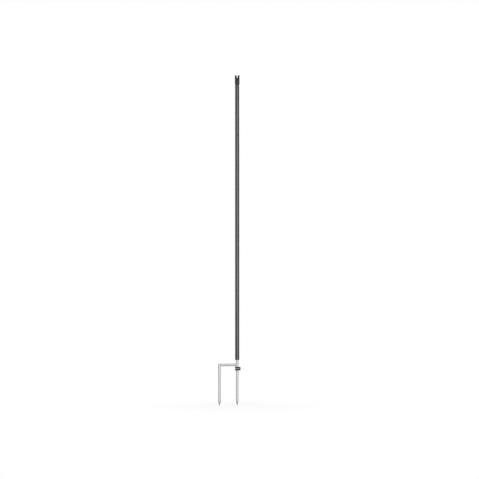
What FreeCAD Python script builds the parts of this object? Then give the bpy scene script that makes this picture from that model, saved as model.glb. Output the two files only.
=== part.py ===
import FreeCAD, Part
import math
import os
import re

import Sketcher

# Electric netting post that is stepped into the ground. Millimetres; z is 0 at the ground line,
# on the common axis of the tube and the main spike. The step bar and its prong point to -X, and
# the string notch in the cap and the slot in the clip run along Y.

SIZES = {
    # Extruded tube
    "tube_diameter": 15.9,
    "tube_length": 1038.0,
    "shank_clearance": 0.05,
    "neck_length": 13.95,
    "tube_foot_bevel": 0.7,
    "tube_bore_chamfer": 0.6,
    # Moulded cap over the tube's top
    "cap_wall": 0.7,
    "cap_clearance": 0.05,
    "cap_socket_depth": 18.0,
    "cap_rim_bevel": 0.6,
    "cap_lead_in": 0.35,
    # Keyhole notch for the top string
    "notch_mouth": 6.0,
    "notch_throat": 2.8,
    "notch_throat_depth": 5.2,
    "notch_seat": 4.4,
    "notch_floor": 5.2,
    # Bar stock of both spikes and the step bar
    "rod_diameter": 9.5,
    "point_flat": 0.9,
    "point_nose_width": 2.4,
    "point_nose_length": 1.0,
    "main_point_length": 14.4,
    "main_spike_depth": 130.4,
    "main_shank_in_tube": 110.0,
    "main_top_chamfer": 1.0,
    # Step bar and the prong bent down from it
    "step_span": 65.7,
    "prong_point_length": 15.0,
    "prong_depth": 132.0,
    "elbow_inner_round": 3.0,
    "elbow_outer_round": 3.2,
    "weld_gap": 0.05,
    "weld_leg": 2.3,
    "weld_side": 0.45,
    # Clip for the bottom string
    "clip_wall": 4.0,
    "clip_clearance": 0.05,
    "clip_below_weld": 0.25,
    "clip_arm": 4.95,
    "clip_slot": 2.8,
    "clip_string_room": 2.85,
    "clip_web": 4.7,
    "clip_corner_round": 3.0,
    "clip_edge_round": 1.5,
    "clip_lip_bevel": 0.5,
}

NODES = ["post_tube", "head_cap", "main_spike", "step_prong", "weld_bead", "net_clip"]

doc = FreeCAD.newDocument("StepInPost")
sheet = doc.addObject("Spreadsheet::Sheet", "Sizes")
for row, (alias, value) in enumerate(SIZES.items(), start=1):
    sheet.set(f"A{row}", alias)
    sheet.set(f"B{row}", str(value))
    sheet.setAlias(f"B{row}", alias)
doc.recompute()


def from_sheet(text):
    """The same expression with each size read from its cell."""
    return re.sub(r"[a-z_]+", lambda m: f"Sizes.{m[0]}" if m[0] in SIZES else m[0], text)


def number(text):
    """What an expression of sizes comes to, for the first guess of a sketch."""
    return float(FreeCAD.Units.Quantity(str(sheet.evalExpression(from_sheet(text)))).Value)


def bind(thing, prop, text):
    thing.setExpression(prop, from_sheet(text))


def origin_plane(body, role):
    return next(f for f in body.Origin.OriginFeatures if f.Role == role)


def new_body(label):
    body = doc.addObject("PartDesign::Body", label)
    body.Label = label
    return body


def new_sketch(body, name, role, height="0"):
    sketch = body.newObject("Sketcher::SketchObject", name)
    sketch.AttachmentSupport = [(origin_plane(body, role), "")]
    sketch.MapMode = "FlatFace"
    bind(sketch, "AttachmentOffset.Base.z", height)
    return sketch


def fix(sketch, kind, name, text, *where):
    """Adds a dimension to a sketch and binds it to an expression of sizes."""
    index = sketch.addConstraint(Sketcher.Constraint(kind, *where, number(text)))
    sketch.renameConstraint(index, name)
    bind(sketch, f"Constraints.{name}", text)


def draw_polygon(sketch, corners):
    """A closed outline whose corners each have both coordinates bound."""
    points = [FreeCAD.Vector(number(x), number(y), 0) for x, y in corners]
    for start, end in zip(points, points[1:] + points[:1]):
        sketch.addGeometry(Part.LineSegment(start, end), False)
    for i in range(len(points)):
        sketch.addConstraint(Sketcher.Constraint("Coincident", i - 1 if i else len(points) - 1, 2, i, 1))
    for i, (x, y) in enumerate(corners):
        fix(sketch, "DistanceX", f"across_{i}", x, -1, 1, i, 1)
        fix(sketch, "DistanceY", f"up_{i}", y, -1, 1, i, 1)


def draw_circle(sketch, name, x, y, radius):
    centre = FreeCAD.Vector(number(x), number(y), 0)
    circle = sketch.addGeometry(Part.Circle(centre, FreeCAD.Vector(0, 0, 1), number(radius)), False)
    fix(sketch, "DistanceX", f"{name}_across", x, -1, 1, circle, 3)
    fix(sketch, "DistanceY", f"{name}_up", y, -1, 1, circle, 3)
    fix(sketch, "Radius", f"{name}_radius", radius, circle)


def pad(body, name, sketch, length):
    feature = body.newObject("PartDesign::Pad", name)
    feature.Profile = sketch
    bind(feature, "Length", length)
    sketch.Visibility = False
    doc.recompute()
    return feature


def cut_through(body, name, sketch):
    """Pockets the sketch right through the body, and makes sure that it took material away."""
    before = body.Shape.Volume
    feature = body.newObject("PartDesign::Pocket", name)
    feature.Profile = sketch
    feature.Type = "ThroughAll"
    feature.Midplane = True
    doc.recompute()
    if body.Shape.Volume > before - 0.01:
        raise RuntimeError(f"{name} cut nothing from {body.Label}")
    return feature


def revolve(body, name, sketch):
    feature = body.newObject("PartDesign::Revolution", name)
    feature.Profile = sketch
    feature.ReferenceAxis = (sketch, ["V_Axis"])
    feature.Angle = 360.0
    doc.recompute()
    return feature


def dress(body, kind, name, wanted, size_property, size):
    """Rounds or chamfers the edges of the body's last feature that wanted() picks by their place."""
    base = body.Tip
    edges = [f"Edge{i}" for i, edge in enumerate(base.Shape.Edges, start=1) if wanted(edge)]
    feature = body.newObject(kind, name)
    feature.Base = (base, edges)
    bind(feature, size_property, size)
    doc.recompute()
    return feature


def round_edges(body, name, wanted, size):
    return dress(body, "PartDesign::Fillet", name, wanted, "Radius", size)


def bevel_edges(body, name, wanted, size):
    return dress(body, "PartDesign::Chamfer", name, wanted, "Size", size)


def level(edge, text):
    """Whether an edge lies flat at the given height."""
    height = number(text)
    return abs(edge.BoundBox.ZMin - height) < 1e-4 and abs(edge.BoundBox.ZMax - height) < 1e-4


def round_at(edge, text):
    """Whether an edge is a circle of the given radius."""
    curve = edge.Curve
    return isinstance(curve, Part.Circle) and abs(curve.Radius - number(text)) < 1e-4


# Heights and radii that several pieces share, from the ground line up
ROD = "(rod_diameter / 2)"
CLIP_TOP = "(2 * clip_arm + clip_slot)"
STEP_HEIGHT = f"({CLIP_TOP} + clip_below_weld + weld_leg + {ROD})"
TUBE_FOOT = f"({STEP_HEIGHT} + {ROD} + neck_length)"
TUBE_TOP = f"({TUBE_FOOT} + tube_length)"
TUBE_BORE = f"({ROD} + shank_clearance)"
SHANK_TOP = f"({TUBE_FOOT} + main_shank_in_tube)"
CAP_SOCKET = "(tube_diameter / 2 + cap_clearance)"
CAP_TOP = f"({TUBE_TOP} + notch_floor + notch_seat + notch_throat_depth)"


# Post tube: an extruded tube, pushed over the main spike's shank and cut square at both ends.
def make_post_tube():
    body = new_body("post_tube")
    ring = new_sketch(body, "TubeSection", "XY_Plane", TUBE_FOOT)
    draw_circle(ring, "outside", "0", "0", "tube_diameter / 2")
    draw_circle(ring, "bore", "0", "0", TUBE_BORE)
    pad(body, "TubeLength", ring, "tube_length")
    foot = lambda edge: level(edge, TUBE_FOOT)
    bevel_edges(body, "FootBevel", lambda e: foot(e) and round_at(e, "tube_diameter / 2"), "tube_foot_bevel")
    bevel_edges(body, "BoreMouth", lambda e: foot(e) and round_at(e, TUBE_BORE), "tube_bore_chamfer")
    return body


# Head cap: a moulding whose thin skirt sits over the tube, with a solid head. The string is pressed
# through a V mouth and a narrow throat into a round seat, so that it snaps in from above.
def make_head_cap():
    body = new_body("head_cap")
    half = new_sketch(body, "CapHalf", "XZ_Plane")
    skirt_end = f"({TUBE_TOP} - cap_socket_depth)"
    outside = f"({CAP_SOCKET} + cap_wall)"
    draw_polygon(
        half,
        [
            (CAP_SOCKET, skirt_end),
            (outside, skirt_end),
            (outside, CAP_TOP),
            ("0", CAP_TOP),
            ("0", TUBE_TOP),
            (CAP_SOCKET, TUBE_TOP),
        ],
    )
    revolve(body, "CapTurned", half)
    bevel_edges(body, "SkirtLeadIn", lambda e: level(e, skirt_end) and round_at(e, CAP_SOCKET), "cap_lead_in")

    mouth = new_sketch(body, "NotchMouth", "XZ_Plane")
    throat_top = f"({CAP_TOP} - notch_throat_depth)"
    seat_height = f"({throat_top} - notch_seat / 2)"
    draw_polygon(
        mouth,
        [
            ("-notch_mouth / 2", CAP_TOP),
            ("-notch_throat / 2", throat_top),
            ("-notch_throat / 2", seat_height),
            ("notch_throat / 2", seat_height),
            ("notch_throat / 2", throat_top),
            ("notch_mouth / 2", CAP_TOP),
        ],
    )
    cut_through(body, "MouthCut", mouth)
    seat = new_sketch(body, "NotchSeat", "XZ_Plane")
    draw_circle(seat, "seat", "0", seat_height, "notch_seat / 2")
    cut_through(body, "SeatCut", seat)
    bevel_edges(body, "RimBevel", lambda e: level(e, CAP_TOP), "cap_rim_bevel")
    return body


# A straight length of bar stock with a drawn-down point and a blunted nose, on its own z axis.
def make_pointed_rod(label, top, depth, point_length):
    body = new_body(label)
    half = new_sketch(body, f"{label}_half", "XZ_Plane")
    draw_polygon(
        half,
        [
            ("0", f"-{depth}"),
            ("point_flat / 2", f"-{depth}"),
            ("point_nose_width / 2", f"point_nose_length - {depth}"),
            (ROD, f"{point_length} - {depth}"),
            (ROD, top),
            ("0", top),
        ],
    )
    revolve(body, f"{label}_turned", half)
    return body


# Main spike: carries the post. Its shank is held inside the tube.
def make_main_spike():
    body = make_pointed_rod("main_spike", SHANK_TOP, "main_spike_depth", "main_point_length")
    bevel_edges(body, "ShankTop", lambda e: level(e, SHANK_TOP), "main_top_chamfer")
    return body


# Elbow of the step bar: bent hot and tight, so that its outer corner stays nearly square while its
# inner corner is a small round. Every section stands on a plane through the inner round's axis. It
# is an ellipse as thick as the rod across Y, and reaches from the inner round to the outer corner.
def make_elbow():
    reach = "(elbow_inner_round + rod_diameter)"
    core = f"({reach} - elbow_outer_round)"
    corner_turn = f"atan({core} / {reach})"
    # Four turns from the bar's end to the middle of the corner, each with its reach from the axis
    first_half = [(f"{share} * {corner_turn}", f"{reach} / cos({share} * {corner_turn})") for share in (0, 0.75, 1)]
    middle = [("45 deg", f"(sqrt(2) * {core} + elbow_outer_round)")]
    second_half = [(f"90 deg - {turn}", far) for turn, far in reversed(first_half)]
    sections = []
    for i, (turn, far) in enumerate(first_half + middle + second_half):
        ellipse = doc.addObject("Part::Ellipse", f"ElbowSection{i}")
        bind(ellipse, "MajorRadius", f"({far} - elbow_inner_round) / 2")
        bind(ellipse, "MinorRadius", ROD)
        ellipse.Placement.Rotation = FreeCAD.Rotation(FreeCAD.Vector(0, 1, 0), -90)
        centre = f"({far} + elbow_inner_round) / 2"
        bind(ellipse, "Placement.Base.x", f"-step_span + {ROD} + elbow_inner_round - {centre} * sin({turn})")
        bind(ellipse, "Placement.Base.z", f"{STEP_HEIGHT} - {ROD} - elbow_inner_round + {centre} * cos({turn})")
        bind(ellipse, "Placement.Rotation.Angle", f"-(90 deg + {turn})")
        sections.append(ellipse)
    elbow = doc.addObject("Part::Loft", "Elbow")
    elbow.Sections = sections
    elbow.Solid = True
    elbow.Ruled = False
    elbow.MaxDegree = 3
    doc.recompute()
    return elbow


# Step prong: one rod that is the step bar, the elbow and the second spike. The bar's free end is
# cut to a mouth that seats round the main spike.
def make_step_prong():
    elbow_end = f"({ROD} + elbow_inner_round)"
    spike = make_pointed_rod("PlainProng", f"{STEP_HEIGHT} - {elbow_end}", "prong_depth", "prong_point_length")
    bind(spike, "Placement.Base.x", "-step_span")
    bar = doc.addObject("Part::Cylinder", "StepBar")
    bind(bar, "Radius", ROD)
    bind(bar, "Height", f"step_span - {elbow_end}")
    bar.Placement.Rotation = FreeCAD.Rotation(FreeCAD.Vector(0, 1, 0), 90)
    bind(bar, "Placement.Base.x", f"{elbow_end} - step_span")
    bind(bar, "Placement.Base.z", STEP_HEIGHT)
    whole = doc.addObject("Part::MultiFuse", "BentRod")
    whole.Shapes = [bar, make_elbow(), spike]
    whole.Refine = True
    mouth = doc.addObject("Part::Cylinder", "BarMouth")
    bind(mouth, "Radius", f"{ROD} + weld_gap")
    bind(mouth, "Height", "2 * rod_diameter")
    bind(mouth, "Placement.Base.z", f"{STEP_HEIGHT} - rod_diameter")
    prong = doc.addObject("Part::Cut", "step_prong")
    prong.Label = "step_prong"
    prong.Base = whole
    prong.Tool = mouth
    doc.recompute()
    return prong


# Weld bead: one run round the joint of the step bar and the main spike. It is a ball of metal about
# the point where their axes cross, which reaches one leg along each rod, less the rods themselves.
def make_weld_bead():
    ball = doc.addObject("Part::Sphere", "WeldMetal")
    bind(ball, "Radius", f"sqrt({ROD}^2 + ({ROD} + weld_leg)^2)")
    bind(ball, "Placement.Base.z", STEP_HEIGHT)
    # The run is only a little wider than the rods, and stops short of the spike's far half
    room = doc.addObject("Part::Box", "WeldRoom")
    bind(room, "Length", "2 * rod_diameter")
    bind(room, "Width", f"2 * ({ROD} + weld_side)")
    bind(room, "Height", "4 * rod_diameter")
    bind(room, "Placement.Base.x", "-2.25 * rod_diameter")
    bind(room, "Placement.Base.y", f"-({ROD} + weld_side)")
    bind(room, "Placement.Base.z", f"{STEP_HEIGHT} - 2 * rod_diameter")
    metal = doc.addObject("Part::Common", "WeldInRoom")
    metal.Base = ball
    metal.Tool = room
    rods = []
    for name, turn in (("WeldRoundSpike", 0), ("WeldRoundBar", 90)):
        rod = doc.addObject("Part::Cylinder", name)
        bind(rod, "Radius", f"{ROD} + weld_gap")
        bind(rod, "Height", "6 * rod_diameter")
        rod.Placement.Rotation = FreeCAD.Rotation(FreeCAD.Vector(0, 1, 0), turn)
        rods.append(rod)
    bind(rods[0], "Placement.Base.z", f"{STEP_HEIGHT} - 3 * rod_diameter")
    bind(rods[1], "Placement.Base.x", "-6 * rod_diameter")
    bind(rods[1], "Placement.Base.z", STEP_HEIGHT)
    both = doc.addObject("Part::MultiFuse", "WeldRods")
    both.Shapes = rods
    bead = doc.addObject("Part::Cut", "weld_bead")
    bead.Label = "weld_bead"
    bead.Base = metal
    bead.Tool = both
    doc.recompute()
    return bead


# Net clip: a U lying on its side, pushed up the main spike to the step bar. The bottom string is
# caught in the slot behind the spike, which closes the slot's open side.
def make_net_clip():
    body = new_body("net_clip")
    ring_radius = f"({ROD} + clip_clearance + clip_wall)"
    ring = new_sketch(body, "ClipRing", "XY_Plane")
    draw_circle(ring, "ring", "0", "0", ring_radius)
    pad(body, "RingHeight", ring, CLIP_TOP)
    slot_end = f"({ROD} + clip_string_room)"
    far_side = f"({slot_end} + clip_web)"
    web = new_sketch(body, "ClipWeb", "XY_Plane")
    draw_polygon(
        web,
        [
            ("0", f"-{ring_radius}"),
            (far_side, f"-{ring_radius}"),
            (far_side, ring_radius),
            ("0", ring_radius),
        ],
    )
    pad(body, "WebHeight", web, CLIP_TOP)
    upright = lambda edge: edge.BoundBox.ZLength > number(CLIP_TOP) - 1e-4
    outer = lambda edge: abs(edge.BoundBox.XMin - number(far_side)) < 1e-4
    round_edges(body, "WebCorners", lambda e: upright(e) and outer(e), "clip_corner_round")
    flat_end = lambda edge: level(edge, "0") or level(edge, CLIP_TOP)
    round_edges(body, "EndEdges", flat_end, "clip_edge_round")

    slot = new_sketch(body, "StringSlot", "XZ_Plane")
    half, end, slot_middle = "clip_slot / 2", f"({slot_end} - clip_slot / 2)", f"({CLIP_TOP} / 2)"
    left, right = -number(f"2 * {ring_radius}"), number(end)
    middle, rise = number(slot_middle), number(half)
    corners = [(right, middle + rise), (left, middle + rise), (left, middle - rise), (right, middle - rise)]
    corners = [FreeCAD.Vector(x, y, 0) for x, y in corners]
    for start, stop in zip(corners, corners[1:]):
        slot.addGeometry(Part.LineSegment(start, stop), False)
    circle = Part.Circle(FreeCAD.Vector(right, middle, 0), FreeCAD.Vector(0, 0, 1), rise)
    slot.addGeometry(Part.ArcOfCircle(circle, -math.pi / 2, math.pi / 2), False)
    slot.addConstraint(Sketcher.Constraint("Coincident", 0, 2, 1, 1))
    slot.addConstraint(Sketcher.Constraint("Coincident", 1, 2, 2, 1))
    slot.addConstraint(Sketcher.Constraint("Tangent", 2, 2, 3, 1))
    slot.addConstraint(Sketcher.Constraint("Tangent", 3, 2, 0, 1))
    slot.addConstraint(Sketcher.Constraint("Horizontal", 0))
    slot.addConstraint(Sketcher.Constraint("Vertical", 1))
    fix(slot, "Radius", "end_radius", half, 3)
    fix(slot, "DistanceX", "end_across", end, -1, 1, 3, 3)
    fix(slot, "DistanceY", "end_up", slot_middle, -1, 1, 3, 3)
    fix(slot, "DistanceX", "mouth_across", f"-2 * {ring_radius}", -1, 1, 1, 1)
    cut_through(body, "SlotCut", slot)
    slot_faces = [number(f"{slot_middle} + {half}"), number(f"{slot_middle} - {half}")]
    def lip(edge):
        box = edge.BoundBox
        flat = box.ZLength < 1e-4 and min(abs(box.ZMin - z) for z in slot_faces) < 1e-4
        end_arc = round_at(edge, half) and box.YLength < 1e-4
        across = box.YLength > 1e-4 and box.XLength < 1e-4
        return (flat and not across) or end_arc
    bevel_edges(body, "SlotLip", lip, "clip_lip_bevel")

    bore = new_sketch(body, "SpikeBore", "XY_Plane")
    draw_circle(bore, "bore", "0", "0", f"{ROD} + clip_clearance")
    cut_through(body, "BoreCut", bore)
    return body


parts = [
    make_post_tube(),
    make_head_cap(),
    make_main_spike(),
    make_step_prong(),
    make_weld_bead(),
    make_net_clip(),
]
doc.recompute()

failed = [o.Name for o in doc.Objects if "Invalid" in o.State or "Error" in o.State]
if failed:
    raise RuntimeError(f"these objects failed: {failed}")
for part in parts:
    shape = part.Shape
    if shape.isNull() or not shape.isValid() or len(shape.Solids) != 1:
        raise RuntimeError(f"{part.Label} is not one valid solid")
if sorted(p.Label for p in parts) != sorted(NODES):
    raise RuntimeError("the pieces do not match the list of names")

os.makedirs("parts", exist_ok=True)
for part in parts:
    part.Shape.exportStep(os.path.join("parts", f"{part.Label}.step"))
    box = part.Shape.BoundBox
    print(f"{part.Label}: {part.Shape.Volume:.1f} mm3, x {box.XMin:.2f}..{box.XMax:.2f}, z {box.ZMin:.2f}..{box.ZMax:.2f}")
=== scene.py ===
import math
from functools import partial

import bmesh
import bpy
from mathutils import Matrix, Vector


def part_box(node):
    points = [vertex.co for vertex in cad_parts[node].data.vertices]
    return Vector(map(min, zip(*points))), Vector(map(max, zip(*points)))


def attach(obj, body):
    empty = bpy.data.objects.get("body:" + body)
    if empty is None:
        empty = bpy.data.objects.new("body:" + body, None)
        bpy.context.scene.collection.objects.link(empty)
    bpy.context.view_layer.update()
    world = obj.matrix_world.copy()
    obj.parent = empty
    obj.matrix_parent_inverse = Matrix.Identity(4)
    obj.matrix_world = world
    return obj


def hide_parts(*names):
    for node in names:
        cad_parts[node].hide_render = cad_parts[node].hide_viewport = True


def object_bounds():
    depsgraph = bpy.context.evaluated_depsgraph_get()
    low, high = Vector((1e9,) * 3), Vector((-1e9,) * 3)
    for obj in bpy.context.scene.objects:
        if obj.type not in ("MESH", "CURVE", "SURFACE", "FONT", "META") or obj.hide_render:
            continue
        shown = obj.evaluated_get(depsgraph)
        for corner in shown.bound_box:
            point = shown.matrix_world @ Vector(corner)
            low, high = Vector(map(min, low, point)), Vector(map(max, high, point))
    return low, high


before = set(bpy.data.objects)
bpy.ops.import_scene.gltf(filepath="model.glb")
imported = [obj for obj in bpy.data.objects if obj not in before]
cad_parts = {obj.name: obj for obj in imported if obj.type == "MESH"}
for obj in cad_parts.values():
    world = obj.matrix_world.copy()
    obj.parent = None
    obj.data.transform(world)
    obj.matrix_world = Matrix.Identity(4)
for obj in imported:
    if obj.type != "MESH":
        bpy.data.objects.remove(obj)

cad_box = [list(corner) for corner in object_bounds()]


# View: the post is seen square from the front, from so far away that perspective hardly shows.
# The width in view and the aim follow from the photograph's scale of 3.70 mm to a pixel.
width_in_view = 1.772
aim = Vector((0.0085, 0.0, 0.4841))
camera_distance = 9.0
sensor_width = 36.0
camera = bpy.data.objects.new("camera", bpy.data.cameras.new("camera"))
camera.data.sensor_width = sensor_width
camera.data.lens = sensor_width * camera_distance / width_in_view
camera.data.clip_end = 200.0
camera.location = aim - Vector((0.0, camera_distance, 0.0))
camera.rotation_euler = (math.radians(90.0), 0.0, 0.0)
bpy.context.scene.collection.objects.link(camera)
bpy.context.scene.camera = camera
bpy.context.scene.view_settings.view_transform = "Standard"


# Studio: a white sweep that the post stands on with the tips of its spikes, and three large soft
# lamps. The floor keeps a soft shadow close to the post, and is plain white further out.
white = (1.0, 1.0, 1.0, 1.0)


def feed(tree, socket, value):
    """Links another node's socket to this one, or sets a plain value on it."""
    if isinstance(value, bpy.types.NodeSocket):
        tree.links.new(value, socket)
    else:
        socket.default_value = value


def node_maths(tree, operation, *values):
    """One step of arithmetic in a node tree, on sockets or plain numbers."""
    step = tree.nodes.new("ShaderNodeMath")
    step.operation = operation
    for socket, value in zip(step.inputs, values):
        feed(tree, socket, value)
    return step.outputs[0]


def add_node(tree, kind, settings=None, **inputs):
    """A node with its settings, and its inputs given by name with _ for each space."""
    node = tree.nodes.new(kind)
    for name, value in (settings or {}).items():
        setattr(node, name, value)
    for name, value in inputs.items():
        feed(tree, node.inputs[name.replace("_", " ")], value)
    return node


def seen_directly(tree):
    """1 for the rays that show the background: from the camera, in gloss and through glass."""
    path = tree.nodes.new("ShaderNodeLightPath")
    rays = node_maths(tree, "MAXIMUM", path.outputs["Is Camera Ray"], path.outputs["Is Glossy Ray"])
    return node_maths(tree, "MAXIMUM", rays, path.outputs["Is Transmission Ray"])


def make_floor():
    half_width = 40.0
    fade_start, fade_end = 0.1, 0.45
    shadow_share = 0.4
    lamp_light = 0.8
    matt_white = (0.86, 0.86, 0.86, 1.0)
    level = cad_box[0][2]
    corners = [(-half_width, -half_width), (half_width, -half_width)]
    corners += [(half_width, half_width), (-half_width, half_width)]
    mesh = bpy.data.meshes.new("floor")
    mesh.from_pydata([(x, y, level) for x, y in corners], [], [(0, 1, 2, 3)])
    floor = bpy.data.objects.new("floor", mesh)
    bpy.context.scene.collection.objects.link(floor)
    paint = bpy.data.materials.new("white sweep")
    paint.use_nodes = True
    tree = paint.node_tree
    tree.nodes.clear()
    add = partial(add_node, tree)
    place = tree.nodes.new("ShaderNodeTexCoord").outputs["Object"]
    away = add("ShaderNodeVectorMath", {"operation": "LENGTH"}, Vector=place).outputs["Value"]
    near = add(
        "ShaderNodeMapRange",
        {"interpolation_type": "SMOOTHSTEP"},
        Value=away,
        From_Min=fade_start,
        From_Max=fade_end,
        To_Min=shadow_share,
        To_Max=0.0,
    )
    share = near.outputs["Result"]
    # What the lamps don't give, the glow does, so that the lit floor is white up to the post
    glow_strength = node_maths(tree, "MULTIPLY_ADD", share, -lamp_light, 1.0)
    glow = add("ShaderNodeEmission", Color=white, Strength=glow_strength)
    shaded = add("ShaderNodeBsdfDiffuse", Color=share)
    shown = tree.nodes.new("ShaderNodeAddShader")
    tree.links.new(glow.outputs[0], shown.inputs[0])
    tree.links.new(shaded.outputs[0], shown.inputs[1])
    matt = add("ShaderNodeBsdfDiffuse", Color=matt_white)
    whole = add("ShaderNodeMixShader", Fac=seen_directly(tree))
    tree.links.new(matt.outputs[0], whole.inputs[1])
    tree.links.new(shown.outputs[0], whole.inputs[2])
    add("ShaderNodeOutputMaterial", Surface=whole.outputs[0])
    mesh.materials.append(paint)


def make_world():
    fill = 0.48
    world = bpy.data.worlds.new("studio")
    bpy.context.scene.world = world
    world.use_nodes = True
    tree = world.node_tree
    tree.nodes.clear()
    brightness = node_maths(tree, "MULTIPLY_ADD", seen_directly(tree), 1.0 - fill, fill)
    background = add_node(tree, "ShaderNodeBackground", Color=white, Strength=brightness)
    add_node(tree, "ShaderNodeOutputWorld", Surface=background.outputs[0])


def add_softbox(name, azimuth, elevation, distance, size, power):
    """A lamp aimed at the lower part of the post, azimuth degrees to the right of the camera."""
    target = Vector((0.0, 0.0, 0.25))
    turn, rise = math.radians(azimuth), math.radians(elevation)
    out = math.cos(rise)
    away = Vector((math.sin(turn) * out, -math.cos(turn) * out, math.sin(rise)))
    lamp = bpy.data.lights.new(name, "AREA")
    lamp.shape = "RECTANGLE"
    lamp.size, lamp.size_y = size
    lamp.energy = power
    holder = bpy.data.objects.new(name, lamp)
    holder.location = target + away * distance
    holder.rotation_euler = (-away).to_track_quat("-Z", "Y").to_euler()
    bpy.context.scene.collection.objects.link(holder)


make_floor()
make_world()
add_softbox("box right of the camera", 15.0, 5.8, distance=3.2, size=(1.0, 1.5), power=55.0)
add_softbox("box left of the camera", -32.0, 0.0, distance=3.4, size=(1.4, 2.8), power=24.0)
add_softbox("box behind the post", 150.0, 30.0, distance=3.6, size=(1.6, 2.4), power=30.0)


# Main spike: one length of 9.5 mm steel rod, hot-dip zinc coated. Its point is drawn down under a
# hammer, which leaves four soft flats, and its shank is pushed up inside the tube.
spike_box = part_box("main_spike")
rod_radius = 0.00475
rod_sides = 72
main_point_length = 0.0144
nose_radius, nose_length = 0.0012, 0.001
# The tip's radius as a share of the nose's, and the depth of the flats as a share of the radius
tip_share = 0.4
flat_depth = 0.13


def piece_from(mesh, name):
    piece = bpy.data.objects.new(name, mesh)
    bpy.context.scene.collection.objects.link(piece)
    return piece


def settle(piece, node):
    """The finished piece joins the root body and stands in for its CAD node, which is hidden."""
    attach(piece, "root")
    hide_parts(node)


def start_finish(name, roughness, metallic, specular=0.5):
    """A material whose plain values stand on the shader's own sockets, and its coordinates."""
    finish = bpy.data.materials.new(name)
    finish.use_nodes = True
    tree = finish.node_tree
    shader = tree.nodes["Principled BSDF"]
    shader.inputs["Roughness"].default_value = roughness
    shader.inputs["Metallic"].default_value = metallic
    shader.inputs["Specular IOR Level"].default_value = specular
    place = tree.nodes.new("ShaderNodeTexCoord").outputs["Object"]
    return finish, tree, shader, place


def noise(tree, place, scale, stretch=(1.0, 1.0, 1.0), detail=3.0, rough=0.55):
    """Noise with features of about 1/scale metres, drawn out where stretch is small."""
    spot = add_node(tree, "ShaderNodeMapping", Vector=place, Scale=stretch).outputs[0]
    texture = add_node(
        tree, "ShaderNodeTexNoise", Vector=spot, Scale=scale, Detail=detail, Roughness=rough
    )
    return texture.outputs["Fac"]


def between(tree, value, low, high, to_low=0.0, to_high=1.0):
    """Spreads a value's range from low to high over another range, and holds it inside."""
    spread = add_node(tree, "ShaderNodeMapRange", Value=value, From_Min=low, From_Max=high)
    feed(tree, spread.inputs["To Min"], to_low)
    feed(tree, spread.inputs["To Max"], to_high)
    return spread.outputs["Result"]


def blend_colours(tree, share, first, second):
    """A blend of two colours, each of them a socket or three numbers."""
    mix = add_node(tree, "ShaderNodeMix", {"data_type": "RGBA"})
    feed(tree, mix.inputs[0], share)
    for socket, colour in ((mix.inputs[6], first), (mix.inputs[7], second)):
        feed(tree, socket, (*colour, 1.0) if isinstance(colour, tuple) else colour)
    return mix.outputs[2]


def bump(tree, shader, heights):
    """Stacks layers of (height, depth in metres) as relief on the shader."""
    normal = None
    for height, depth in heights:
        layer = add_node(tree, "ShaderNodeBump", Height=height, Distance=depth, Strength=1.0)
        if normal:
            tree.links.new(normal, layer.inputs["Normal"])
        normal = layer.outputs["Normal"]
    tree.links.new(normal, shader.inputs["Normal"])


def zinc_finish(name, light, dark, point_start, lay=None):
    """Dull zinc: cloudy crystals, fine drawing lines along the rod, and a darker worked point.

    lay names a mesh attribute that holds each place as if the rod were unbent along Z.
    """
    finish, tree, shader, place = start_finish(name, roughness=0.42, metallic=0.75)
    maths = partial(node_maths, tree)
    if lay:
        place = add_node(tree, "ShaderNodeAttribute", {"attribute_name": lay}).outputs["Vector"]
    clouds = noise(tree, place, 240.0, stretch=(1.0, 1.0, 0.45), detail=4.0, rough=0.6)
    wander = maths("MULTIPLY", noise(tree, place, 900.0, detail=2.0), 0.0016)
    ragged = add_node(tree, "ShaderNodeVectorMath", {"operation": "ADD"})
    tree.links.new(place, ragged.inputs[0])
    tree.links.new(wander, ragged.inputs[1])
    crystals = add_node(tree, "ShaderNodeTexVoronoi", {"feature": "F1"}, Scale=520.0)
    tree.links.new(ragged.outputs[0], crystals.inputs["Vector"])
    crystal_tones = add_node(tree, "ShaderNodeSeparateColor", Color=crystals.outputs["Color"])
    tone = maths("MULTIPLY_ADD", crystal_tones.outputs[0], 0.22, maths("MULTIPLY", clouds, 0.85))
    zinc = blend_colours(tree, between(tree, tone, 0.28, 0.78), dark, light)
    # The stain of the hammered point comes on within 5 mm, and lies in patches
    height = add_node(tree, "ShaderNodeSeparateXYZ", Vector=place).outputs["Z"]
    worked = between(tree, height, point_start + 0.003, point_start - 0.002)
    patches = noise(tree, place, 90.0, stretch=(1.0, 1.0, 0.3), detail=4.0)
    stain = maths("MULTIPLY", between(tree, patches, 0.5, 0.72, 0.0, 0.15), worked)
    stained = blend_colours(tree, stain, zinc, tuple(0.55 * part for part in dark))
    tree.links.new(stained, shader.inputs["Base Color"])
    tree.links.new(between(tree, tone, 0.25, 0.8, 0.36, 0.5), shader.inputs["Roughness"])
    drawn = noise(tree, place, 5200.0, stretch=(1.0, 1.0, 0.012), detail=2.0)
    pits = noise(tree, place, 2600.0, detail=2.0)
    bump(tree, shader, [(drawn, 0.000008), (pits, 0.00001), (clouds, 0.00009)])
    return finish


def geometry_tree(name, inputs):
    """An empty Geometry Nodes tree with its named inputs, and its input and output nodes."""
    tree = bpy.data.node_groups.new(name, "GeometryNodeTree")
    tree.interface.new_socket("Geometry", in_out="OUTPUT", socket_type="NodeSocketGeometry")
    for label, kind in inputs:
        tree.interface.new_socket(label, in_out="INPUT", socket_type=kind)
    return tree, tree.nodes.new("NodeGroupInput"), tree.nodes.new("NodeGroupOutput")


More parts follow.
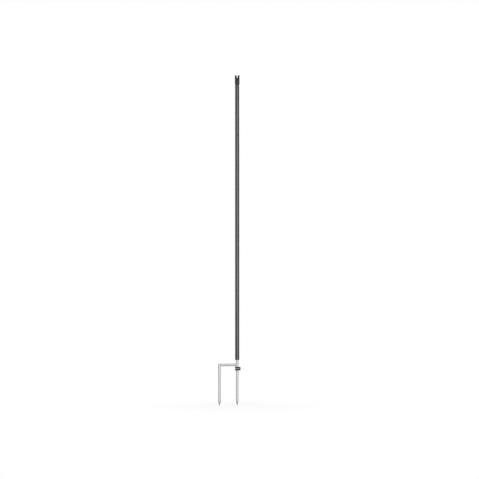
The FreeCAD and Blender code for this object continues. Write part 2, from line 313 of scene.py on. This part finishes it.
def close_tree(tree, output, geometry, material):
    """Ends a tree in Realize Instances and Set Material."""
    real = add_node(tree, "GeometryNodeRealizeInstances", Geometry=geometry)
    dressed = add_node(tree, "GeometryNodeSetMaterial", Geometry=real.outputs[0])
    tree.links.new(material, dressed.inputs["Material"])
    tree.links.new(dressed.outputs[0], output.inputs["Geometry"])


def grow(name, tree, values):
    """Runs a tree with its named inputs set, and keeps the result as a plain mesh."""
    seed = piece_from(bpy.data.meshes.new(name + " seed"), name + "_seed")
    modifier = seed.modifiers.new("grow", "NODES")
    modifier.node_group = tree
    for item in tree.interface.items_tree:
        if item.item_type == "SOCKET" and item.in_out == "INPUT" and item.name in values:
            modifier[item.identifier] = values[item.name]
    evaluated = seed.evaluated_get(bpy.context.evaluated_depsgraph_get())
    mesh = bpy.data.meshes.new_from_object(evaluated)
    mesh.name = name
    bpy.data.objects.remove(seed)
    return piece_from(mesh, name)


def drawn_rod_tree():
    """Rings of a cylinder, spread so that a tenth shapes the nose and four tenths the point."""
    nose_end, point_end, shank_end = 0.1, 0.5, 0.98
    numbers = ["Radius", "Nose Radius", "Nose Length", "Point Length", "Length", "Tip Height"]
    numbers += ["Chamfer", "Flat Depth"]
    inputs = [(label, "NodeSocketFloat") for label in numbers] + [("Finish", "NodeSocketMaterial")]
    tree, given, output = geometry_tree("drawn rod", inputs)
    maths, add = partial(node_maths, tree), partial(add_node, tree)
    size = {label: given.outputs[label] for label in numbers}
    blank = add(
        "GeometryNodeMeshCylinder", Vertices=rod_sides, Side_Segments=200, Radius=1.0, Depth=1.0
    )
    place = tree.nodes.new("GeometryNodeInputPosition").outputs[0]
    across, aside, up = add("ShaderNodeSeparateXYZ", Vector=place).outputs
    along = maths("ADD", up, 0.5)

    def ramp(start, stop, amount):
        """A length that grows to its amount between two shares of the way along the rod."""
        return between(tree, along, start, stop, 0.0, amount)

    both_ends = maths("ADD", size["Point Length"], size["Chamfer"])
    steps = [
        (0.0, nose_end, size["Nose Length"]),
        (nose_end, point_end, maths("SUBTRACT", size["Point Length"], size["Nose Length"])),
        (point_end, shank_end, maths("SUBTRACT", size["Length"], both_ends)),
        (shank_end, 1.0, size["Chamfer"]),
    ]
    height = size["Tip Height"]
    for start, stop, amount in steps:
        height = maths("ADD", height, ramp(start, stop, amount))
    tip_radius = maths("MULTIPLY", size["Nose Radius"], tip_share)
    nose_swell = maths("SUBTRACT", size["Nose Radius"], tip_radius)
    point_swell = maths("SUBTRACT", size["Radius"], size["Nose Radius"])
    radius = maths("ADD", tip_radius, ramp(0.0, nose_end, nose_swell))
    radius = maths("ADD", radius, ramp(nose_end, point_end, point_swell))
    radius = maths("SUBTRACT", radius, ramp(shank_end, 1.0, size["Chamfer"]))
    # Four flats from the hammer, deepest halfway down the point and gone at both its ends
    four_ways = maths("COSINE", maths("MULTIPLY", maths("ARCTAN2", aside, across), 2.0))
    flats = maths("SUBTRACT", 1.0, maths("ABSOLUTE", four_ways))
    up_point = maths("MINIMUM", along, point_end)
    swell = maths("SINE", maths("MULTIPLY", up_point, math.pi / point_end))
    hollow = maths("MULTIPLY", maths("MULTIPLY", flats, swell), size["Flat Depth"])
    radius = maths("SUBTRACT", radius, maths("MULTIPLY", hollow, radius))
    shaped = add(
        "ShaderNodeCombineXYZ",
        X=maths("MULTIPLY", across, radius),
        Y=maths("MULTIPLY", aside, radius),
        Z=height,
    )
    rings = blank.outputs["Mesh"]
    moved = add("GeometryNodeSetPosition", Geometry=rings, Position=shaped.outputs[0])
    smooth = add("GeometryNodeSetShadeSmooth", Geometry=moved.outputs[0])
    close_tree(tree, output, smooth.outputs[0], given.outputs["Finish"])
    return tree


main_spike_zinc = zinc_finish(
    "main spike zinc",
    light=(0.47, 0.47, 0.473),
    dark=(0.33, 0.33, 0.334),
    point_start=spike_box[0][2] + main_point_length,
)
main_spike = grow(
    "main_spike_zinc",
    drawn_rod_tree(),
    {
        "Radius": rod_radius,
        "Nose Radius": nose_radius,
        "Nose Length": nose_length,
        "Point Length": main_point_length,
        "Length": spike_box[1][2] - spike_box[0][2],
        "Tip Height": spike_box[0][2],
        "Chamfer": 0.001,
        "Flat Depth": flat_depth,
        "Finish": main_spike_zinc,
    },
)
settle(main_spike, "main_spike")


# Step prong: the step bar and the second spike are one rod, bent hot into a tight elbow. The bar's
# end is cut to a mouth that fits round the main spike, and the other end has the same drawn point.
prong_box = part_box("step_prong")
elbow_inner_round = 0.003
elbow_outer_round = 0.0032
# The solid's elbow bulges by this much past the sides of the rod
elbow_bulge = 0.00007
prong_point_length = 0.015
point_steps = 40
fit_clearance = 0.00005


def elbow_reach(turn):
    """How far the elbow's outer side is from the axis of its inner round, at a turn in radians."""
    reach = elbow_inner_round + 2.0 * rod_radius
    core = reach - elbow_outer_round
    turn = min(turn, math.pi / 2.0 - turn)
    if turn < math.atan2(core, reach):
        return reach / math.cos(turn)
    aside = core * (math.cos(turn) - math.sin(turn))
    return core * (math.cos(turn) + math.sin(turn)) + math.sqrt(elbow_outer_round**2 - aside**2)


def prong_stations(axis_x, bar_height, tip):
    """Stations from the mouth to the tip, and the number of the first one on the point.

    Each holds a section's middle, the direction of its outer side, and its half sizes in that
    direction and across.
    """
    bar_steps, bend_steps, leg_steps = 40, 48, 40
    nose_shares = (0.35, 0.7, 1.0)
    pivot_height = bar_height - rod_radius - elbow_inner_round
    pivot = Vector((axis_x + rod_radius + elbow_inner_round, 0.0, pivot_height))
    stations = []
    outward = Vector((0.0, 0.0, 1.0))
    for i in range(bar_steps):
        middle = Vector((pivot.x * i / bar_steps, 0.0, bar_height))
        stations.append((middle, outward, rod_radius, rod_radius))
    for i in range(bend_steps + 1):
        turn = math.pi / 2.0 * i / bend_steps
        outward = Vector((-math.sin(turn), 0.0, math.cos(turn)))
        far = elbow_reach(turn)
        middle = pivot + outward * (far + elbow_inner_round) / 2.0
        stations.append((middle, outward, (far - elbow_inner_round) / 2.0, rod_radius))
    point_start = tip + prong_point_length
    rest = []
    for i in range(1, leg_steps + 1):
        rest.append((pivot.z + (point_start - pivot.z) * i / leg_steps, rod_radius))
    for i in range(1, point_steps + 1):
        share = i / point_steps
        z = point_start + (tip + nose_length - point_start) * share
        rest.append((z, rod_radius + (nose_radius - rod_radius) * share))
    for share in nose_shares:
        z = tip + nose_length * (1.0 - share)
        rest.append((z, nose_radius * (1.0 - (1.0 - tip_share) * share**2)))
    first_on_point = len(stations) + leg_steps
    outward = Vector((-1.0, 0.0, 0.0))
    stations += [(Vector((axis_x, 0.0, z)), outward, radius, radius) for z, radius in rest]
    return stations, first_on_point


def skin(work, first, second):
    """Makes the wall between two rings of vertices."""
    for k in range(len(first)):
        nxt = (k + 1) % len(first)
        work.faces.new((first[k], first[nxt], second[nxt], second[k]))


def closed_piece(work, name):
    """Turns the faces of a finished shape outwards and makes it a piece."""
    bmesh.ops.recalc_face_normals(work, faces=work.faces)
    mesh = bpy.data.meshes.new(name)
    work.to_mesh(mesh)
    work.free()
    return piece_from(mesh, name)


def dress(piece, finish):
    piece.data.materials.clear()
    piece.data.materials.append(finish)


def make_step_prong():
    axis_x = prong_box[0][0] + rod_radius + elbow_bulge
    bar_height = prong_box[1][2] - rod_radius - elbow_bulge
    stations, first_on_point = prong_stations(axis_x, bar_height, prong_box[0][2])
    work = bmesh.new()
    rings, laid = [], []
    run = 0.0
    for number, (middle, outward, high, wide) in enumerate(stations):
        ring = []
        run += (middle - stations[max(number - 1, 0)][0]).length
        if number == first_on_point:
            run_to_point = run
        down_point = max(0.0, (number - first_on_point) / (point_steps + 1))
        flat = math.sin(math.pi * min(1.0, down_point))
        for k in range(rod_sides):
            angle = 2.0 * math.pi * k / rod_sides
            worked = 1.0 - flat_depth * flat * (1.0 - abs(math.cos(2.0 * angle)))
            offset = outward * high * math.cos(angle) * worked
            spot = middle + offset + Vector((0.0, wide * math.sin(angle) * worked, 0.0))
            if number == 0:
                spot.x = -math.sqrt((rod_radius + fit_clearance) ** 2 - spot.y**2)
            ring.append(work.verts.new(spot))
            laid.append((rod_radius * math.cos(angle), rod_radius * math.sin(angle), -run))
        rings.append(ring)
    for first, second in zip(rings, rings[1:]):
        skin(work, first, second)
    # The mouth's face is ruled across Y, so that it follows the main spike
    mouth = rings[0]
    for k in range(rod_sides // 2):
        corners = [mouth[k], mouth[k + 1], mouth[-k - 1], mouth[-k]]
        work.faces.new(list(dict.fromkeys(corners)))
    work.faces.new(rings[-1])
    for face in work.faces:
        face.smooth = True
    prong = closed_piece(work, "step_prong_zinc")
    lay = prong.data.attributes.new("lay", "FLOAT_VECTOR", "POINT")
    lay.data.foreach_set("vector", [part for place in laid for part in place])
    light, dark = (0.48, 0.462, 0.484), (0.345, 0.332, 0.348)
    dress(prong, zinc_finish("prong zinc", light, dark, point_start=-run_to_point, lay="lay"))
    return prong


step_prong = make_step_prong()
settle(step_prong, "step_prong")


# Weld bead: one run of weld metal where the bar meets the main spike. The torch leaves a row of
# overlapping ripples, fat above and below the bar and thin at its sides, dulled by the zinc.
def weld_finish():
    finish, tree, shader, place = start_finish("weld under zinc", roughness=0.46, metallic=0.7)
    clouds = between(tree, noise(tree, place, 700.0, detail=4.0), 0.3, 0.7)
    colour = blend_colours(tree, clouds, (0.3, 0.3, 0.303), (0.44, 0.437, 0.44))
    tree.links.new(colour, shader.inputs["Base Color"])
    bump(tree, shader, [(noise(tree, place, 3500.0), 0.00008)])
    return finish


def weld_tree():
    """A row of ripples along the seam where two rods of the same radius cross."""
    numbers = ["Rod Radius", "Height", "Bluntness", "Fat", "Thin", "Stride"]
    inputs = [("Ripples", "NodeSocketInt")]
    inputs += [(label, "NodeSocketFloat") for label in numbers]
    inputs.append(("Finish", "NodeSocketMaterial"))
    tree, given, output = geometry_tree("weld ripples", inputs)
    maths, add = partial(node_maths, tree), partial(add_node, tree)
    size = {label: given.outputs[label] for label in numbers}
    rod = size["Rod Radius"]
    count = given.outputs["Ripples"]
    index = tree.nodes.new("GeometryNodeInputIndex").outputs[0]
    turn = maths("MULTIPLY", maths("DIVIDE", index, count), 2.0 * math.pi)
    sine, cosine = maths("SINE", turn), maths("COSINE", turn)
    # The seam's two sides would meet in a sharp point at the front; the bead rounds it off
    blunt = maths("POWER", size["Bluntness"], 2.0)
    level = maths("SQRT", maths("MULTIPLY_ADD", cosine, cosine, blunt))
    spot = add(
        "ShaderNodeCombineXYZ",
        X=maths("MULTIPLY", maths("MULTIPLY", level, -1.0), rod),
        Y=maths("MULTIPLY", sine, rod),
        Z=maths("MULTIPLY_ADD", cosine, rod, size["Height"]),
    )
    course = add(
        "ShaderNodeCombineXYZ",
        X=maths("DIVIDE", maths("MULTIPLY", sine, cosine), level),
        Y=cosine,
        Z=maths("MULTIPLY", sine, -1.0),
    )
    line = add("GeometryNodeMeshLine", Count=count)
    placed = add("GeometryNodeSetPosition", Geometry=line.outputs[0], Position=spot.outputs[0])
    fatter = maths("SUBTRACT", size["Fat"], size["Thin"])
    fat = maths("MULTIPLY_ADD", maths("MULTIPLY", cosine, cosine), fatter, size["Thin"])
    # Each ripple is from 0.9 to 1.08 times the even size; these two inputs share their names
    uneven = add("FunctionNodeRandomValue", {"data_type": "FLOAT"}, ID=index, Seed=7)
    uneven.inputs[2].default_value = 0.9
    uneven.inputs[3].default_value = 1.08
    fat = maths("MULTIPLY", fat, uneven.outputs[1])
    scale = add("ShaderNodeCombineXYZ", X=fat, Y=fat, Z=size["Stride"])
    aligned = add("FunctionNodeAlignRotationToVector", {"axis": "Z"}, Vector=course.outputs[0])
    ripple = add("GeometryNodeMeshUVSphere", Segments=28, Rings=14, Radius=1.0)
    row = add(
        "GeometryNodeInstanceOnPoints",
        Points=placed.outputs[0],
        Instance=ripple.outputs["Mesh"],
        Rotation=aligned.outputs[0],
        Scale=scale.outputs[0],
    )
    smooth = add("GeometryNodeSetShadeSmooth", Geometry=row.outputs[0])
    close_tree(tree, output, smooth.outputs[0], given.outputs["Finish"])
    return tree


def baked(piece):
    """The piece with its modifiers turned into plain mesh."""
    evaluated = piece.evaluated_get(bpy.context.evaluated_depsgraph_get())
    mesh = bpy.data.meshes.new_from_object(evaluated)
    piece.modifiers.clear()
    piece.data = mesh
    return piece


weld_metal = weld_finish()
weld = grow(
    "weld_ripples",
    weld_tree(),
    {
        "Ripples": 50,
        "Rod Radius": rod_radius,
        "Height": prong_box[1][2] - rod_radius,
        "Bluntness": 0.2,
        "Fat": 0.0014,
        "Thin": 0.0007,
        "Stride": 0.0007,
        "Finish": weld_metal,
    },
)
fused = weld.modifiers.new("fused", "REMESH")
fused.mode = "VOXEL"
fused.voxel_size = 0.00014
fused.use_smooth_shade = True
softened = weld.modifiers.new("softened", "SMOOTH")
softened.factor = 0.5
softened.iterations = 4
dress(baked(weld), weld_metal)
settle(weld, "weld_bead")


# Net clip: a moulding in black plastic, pushed up the main spike to the weld. Its two arms are
# rings, joined by a web on the right, and the bottom string is caught in the slot between them.
clip_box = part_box("net_clip")
# Cuts across the post run out to this far from its axis, well clear of the piece
cut_reach = 0.02


def moulded_finish(name, colour, gloss, rough_low, rough_high):
    """Black moulded plastic: fine spark-eroded grain, faint flow clouds and a few pale rubs."""
    finish, tree, shader, place = start_finish(name, rough_low, metallic=0.0, specular=gloss)
    flow = noise(tree, place, 130.0, stretch=(1.0, 1.0, 0.5))
    grain = noise(tree, place, 6500.0, detail=2.0)
    scratches = noise(tree, place, 900.0, stretch=(1.0, 1.0, 0.25), detail=5.0, rough=0.7)
    rubs = between(tree, scratches, 0.62, 0.8, 0.0, 0.4)
    flow_colour = tuple(1.3 * part for part in colour)
    rubbed_colour = tuple(min(1.0, 2.1 * part + 0.01) for part in colour)
    mottled = blend_colours(tree, between(tree, flow, 0.3, 0.7), colour, flow_colour)
    tree.links.new(blend_colours(tree, rubs, mottled, rubbed_colour), shader.inputs["Base Color"])
    tree.links.new(between(tree, flow, 0.3, 0.7, rough_low, rough_high), shader.inputs["Roughness"])
    bump(tree, shader, [(grain, 0.000025), (flow, 0.00005)])
    return finish


def prism(name, outline, direction, start, stop):
    """A closed outline of 2-D points, pushed along "Z" or "Y" from start to stop."""

    def spot(point, depth):
        return (*point, depth) if direction == "Z" else (point[0], depth, point[1])

    work = bmesh.new()
    low = [work.verts.new(spot(point, start)) for point in outline]
    high = [work.verts.new(spot(point, stop)) for point in outline]
    work.faces.new(low)
    work.faces.new(high)
    skin(work, low, high)
    return closed_piece(work, name)


def arc(x, y, radius, first, last, steps):
    """Points on an arc from one angle to another, in degrees."""
    turns = [math.radians(first + (last - first) * i / steps) for i in range(steps + 1)]
    return [(x + radius * math.cos(t), y + radius * math.sin(t)) for t in turns]


def cut_away(piece, cutters):
    for number, cutter in enumerate(cutters):
        saw = piece.modifiers.new(f"cut {number}", "BOOLEAN")
        saw.operation = "DIFFERENCE"
        saw.solver = "EXACT"
        saw.object = cutter
    baked(piece)
    for cutter in cutters:
        bpy.data.objects.remove(cutter)


def ease_edges(piece, width, finest=1e-6, below=math.inf):
    """Rounds each sharp edge lower than a height by a width, and keeps the faces between true."""
    flat_angle, sharp_angle = math.radians(0.4), math.radians(32.0)
    work = bmesh.new()
    work.from_mesh(piece.data)
    bmesh.ops.remove_doubles(work, verts=work.verts, dist=finest)
    bmesh.ops.dissolve_limit(work, angle_limit=flat_angle, verts=work.verts, edges=work.edges)
    layers = work.edges.layers.float
    weights = layers.get("bevel_weight_edge") or layers.new("bevel_weight_edge")
    for edge in work.edges:
        middle = (edge.verts[0].co + edge.verts[1].co) / 2.0
        sharp = middle.z < below and edge.calc_face_angle(0.0) > sharp_angle
        edge[weights] = 1.0 if sharp else 0.0
    for face in work.faces:
        face.smooth = True
    work.to_mesh(piece.data)
    work.free()
    rounding = piece.modifiers.new("eased edges", "BEVEL")
    rounding.limit_method = "WEIGHT"
    rounding.width = width
    rounding.segments = 4
    rounding.use_clamp_overlap = False
    rounding.face_strength_mode = "FSTR_ALL"
    flats = piece.modifiers.new("true flats", "WEIGHTED_NORMAL")
    flats.use_face_influence = True
    flats.keep_sharp = True
    baked(piece)


def true_walls(piece, *radii):
    """Gives walls about Z their exact round normals, so that cuts leave no lines in the shading."""
    tolerance = 1e-5
    mesh = piece.data
    normals = [Vector(normal.vector) for normal in mesh.corner_normals]
    for face in mesh.polygons:
        spots = [mesh.vertices[mesh.loops[loop].vertex_index].co for loop in face.loop_indices]
        reach = [math.hypot(spot.x, spot.y) for spot in spots]
        if any(max(abs(r - radius) for r in reach) < tolerance for radius in radii):
            for loop, spot in zip(face.loop_indices, spots):
                outward = Vector((spot.x, spot.y, 0.0)).normalized()
                normals[loop] = outward if outward.dot(face.normal) > 0.0 else -outward
    mesh.normals_split_custom_set(normals)


def make_net_clip():
    ring = clip_box[1][1]
    right, top = clip_box[1][0], clip_box[1][2]
    corner, end_round, lip_round = 0.003, 0.0015, 0.0004
    slot_half, slot_middle, slot_end = 0.0014, top / 2.0, 0.0076
    bore_radius, bore_sides = rod_radius + fit_clearance, 72
    bore_foot, bore_top = -0.01, 0.03
    black = (0.008, 0.008, 0.0083)
    outline = arc(0.0, 0.0, ring, 90.0, 270.0, steps=48)
    outline += arc(right - corner, -ring + corner, corner, 270.0, 360.0, steps=12)
    outline += arc(right - corner, ring - corner, corner, 0.0, 90.0, steps=12)
    clip = prism("net_clip_moulded", outline, "Z", 0.0, top)
    ease_edges(clip, end_round)
    slot = [(-cut_reach, slot_middle + slot_half), (-cut_reach, slot_middle - slot_half)]
    slot += arc(slot_end - slot_half, slot_middle, slot_half, -90.0, 90.0, steps=20)
    last_turn = 360.0 * (bore_sides - 1) / bore_sides
    bore = arc(0.0, 0.0, bore_radius, 0.0, last_turn, steps=bore_sides - 1)
    slot_cutter = prism("slot", slot, "Y", -cut_reach, cut_reach)
    bore_cutter = prism("bore", bore, "Z", bore_foot, bore_top)
    cut_away(clip, [slot_cutter, bore_cutter])
    ease_edges(clip, lip_round)
    true_walls(clip, ring, bore_radius)
    dress(clip, moulded_finish("clip plastic", black, gloss=0.24, rough_low=0.42, rough_high=0.52))
    return clip


net_clip = make_net_clip()
settle(net_clip, "net_clip")


# Post tube: dark extruded plastic, cut square and deburred. The die leaves fine lines along it,
# and its satin skin has faint clouds and a few hairline scuffs from handling.
tube_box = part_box("post_tube")
# A ring this close to each rounding keeps its shading off the long wall
guard = 0.0003


def turned(name, profile, sides):
    """A body of revolution about Z from a closed outline of (radius, height) points."""
    turns = [2.0 * math.pi * k / sides for k in range(sides)]
    work = bmesh.new()
    rings = []
    for radius, height in profile:
        spots = [(radius * math.cos(t), radius * math.sin(t), height) for t in turns]
        rings.append([work.verts.new(spot) for spot in spots])
    for first, second in zip(rings, rings[1:] + rings[:1]):
        skin(work, first, second)
    bmesh.ops.remove_doubles(work, verts=work.verts, dist=1e-8)
    return closed_piece(work, name)


def tube_finish():
    plain, cloudy = (0.027, 0.027, 0.0275), (0.034, 0.034, 0.0345)
    lined, scuffed = (0.04, 0.04, 0.0405), (0.09, 0.09, 0.091)
    started = start_finish("tube plastic", roughness=0.2, metallic=0.0, specular=0.4)
    finish, tree, shader, place = started
    lines = noise(tree, place, 1500.0, stretch=(1.0, 1.0, 0.003), rough=0.6)
    wide_lines = noise(tree, place, 420.0, stretch=(1.0, 1.0, 0.004), detail=2.0)
    clouds = noise(tree, place, 45.0, stretch=(1.0, 1.0, 0.2), detail=4.0)
    scuffs = noise(tree, place, 1900.0, stretch=(0.35, 0.35, 0.05), detail=5.0, rough=0.72)
    patches = between(tree, noise(tree, place, 9.0, detail=2.0), 0.5, 0.68)
    hairlines = between(tree, scuffs, 0.6, 0.74, 0.0, 0.5)
    rubbed = node_maths(tree, "MULTIPLY", hairlines, patches)
    base = blend_colours(tree, between(tree, clouds, 0.3, 0.7), plain, cloudy)
    base = blend_colours(tree, between(tree, lines, 0.35, 0.65, 0.0, 0.3), base, lined)
    tree.links.new(blend_colours(tree, rubbed, base, scuffed), shader.inputs["Base Color"])
    sheen = between(tree, clouds, 0.3, 0.7, 0.18, 0.24)
    roughness = node_maths(tree, "MULTIPLY_ADD", rubbed, 0.2, sheen)
    tree.links.new(roughness, shader.inputs["Roughness"])
    bump(tree, shader, [(lines, 0.00003), (wide_lines, 0.00005)])
    return finish


def make_post_tube():
    outside, foot, top = tube_box[1][0], tube_box[0][2], tube_box[1][2]
    inside = rod_radius + fit_clearance
    outer_ease, inner_ease = 0.0007, 0.0006
    wall_foot = foot + outer_ease
    wall_steps = 40
    profile = [(inside, top), (outside, top)]
    profile += [(outside, top + (wall_foot - top) * i / wall_steps) for i in range(1, wall_steps)]
    profile.append((outside, wall_foot + guard))
    profile += arc(outside - outer_ease, wall_foot, outer_ease, 0.0, -90.0, steps=6)
    profile += arc(inside + inner_ease, foot + inner_ease, inner_ease, 270.0, 180.0, steps=6)
    profile.append((inside, foot + inner_ease + guard))
    tube = turned("post_tube_extruded", profile, sides=128)
    # The two cut ends are shaded flat
    for polygon in tube.data.polygons:
        polygon.use_smooth = abs(polygon.normal.z) < 0.999
    dress(tube, tube_finish())
    return tube


post_tube = make_post_tube()
settle(post_tube, "post_tube")


# Head cap: a black moulding with a thin skirt over the tube and a solid head. The top string is
# pressed down through a V mouth and a narrow throat, and snaps into the round seat below.
cap_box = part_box("head_cap")


def notch_outline(top):
    """The notch seen along Y, from the right side of its mouth round to the right of its throat."""
    mouth_half, throat_half, throat_depth = 0.003, 0.0014, 0.0052
    seat_radius, mouth_round = 0.0022, 0.0005
    above = top + 0.002
    throat_top = top - throat_depth
    seat_middle = throat_top - seat_radius
    meet = math.degrees(math.acos(throat_half / seat_radius))
    lean = math.degrees(math.atan((mouth_half - throat_half) / (top - throat_top)))
    # The mouth's upper corners are rounded where the slope runs over into the top
    corner_x = mouth_half + mouth_round * math.tan(math.radians(45.0 - lean / 2.0))
    right = arc(corner_x, top - mouth_round, mouth_round, 180.0 - lean, 90.0, steps=6)
    outline = right + [(corner_x, above), (-corner_x, above)]
    outline += [(-x, z) for x, z in reversed(right)]
    outline.append((-throat_half, throat_top))
    outline += arc(0.0, seat_middle, seat_radius, 180.0 - meet, 360.0 + meet, steps=24)
    outline.append((throat_half, throat_top))
    return outline


def make_head_cap():
    outside, foot, top = cap_box[1][0], cap_box[0][2], cap_box[1][2]
    tube_top = tube_box[1][2]
    skirt_wall, rim, lip = 0.0007, 0.0006, 0.0002
    black = (0.012, 0.012, 0.0123)
    socket = outside - skirt_wall
    profile = [(0.0, top)] + arc(outside - rim, top - rim, rim, 90.0, 0.0, steps=8)
    profile += [(outside, top - rim - guard), (outside, foot + lip + guard)]
    profile += arc(outside - lip, foot + lip, lip, 0.0, -90.0, steps=4)
    profile += arc(socket + lip, foot + lip, lip, 270.0, 180.0, steps=4)
    profile += [(socket, foot + lip + guard), (socket, tube_top), (0.0, tube_top)]
    cap = turned("head_cap_moulded", profile, sides=88)
    cut_away(cap, [prism("notch", notch_outline(top), "Y", -cut_reach, cut_reach)])
    ease_edges(cap, width=0.00016, finest=0.00002, below=top - 0.001)
    true_walls(cap, outside, socket)
    dress(cap, moulded_finish("cap plastic", black, gloss=0.27, rough_low=0.45, rough_high=0.56))
    return cap


head_cap = make_head_cap()
settle(head_cap, "head_cap")
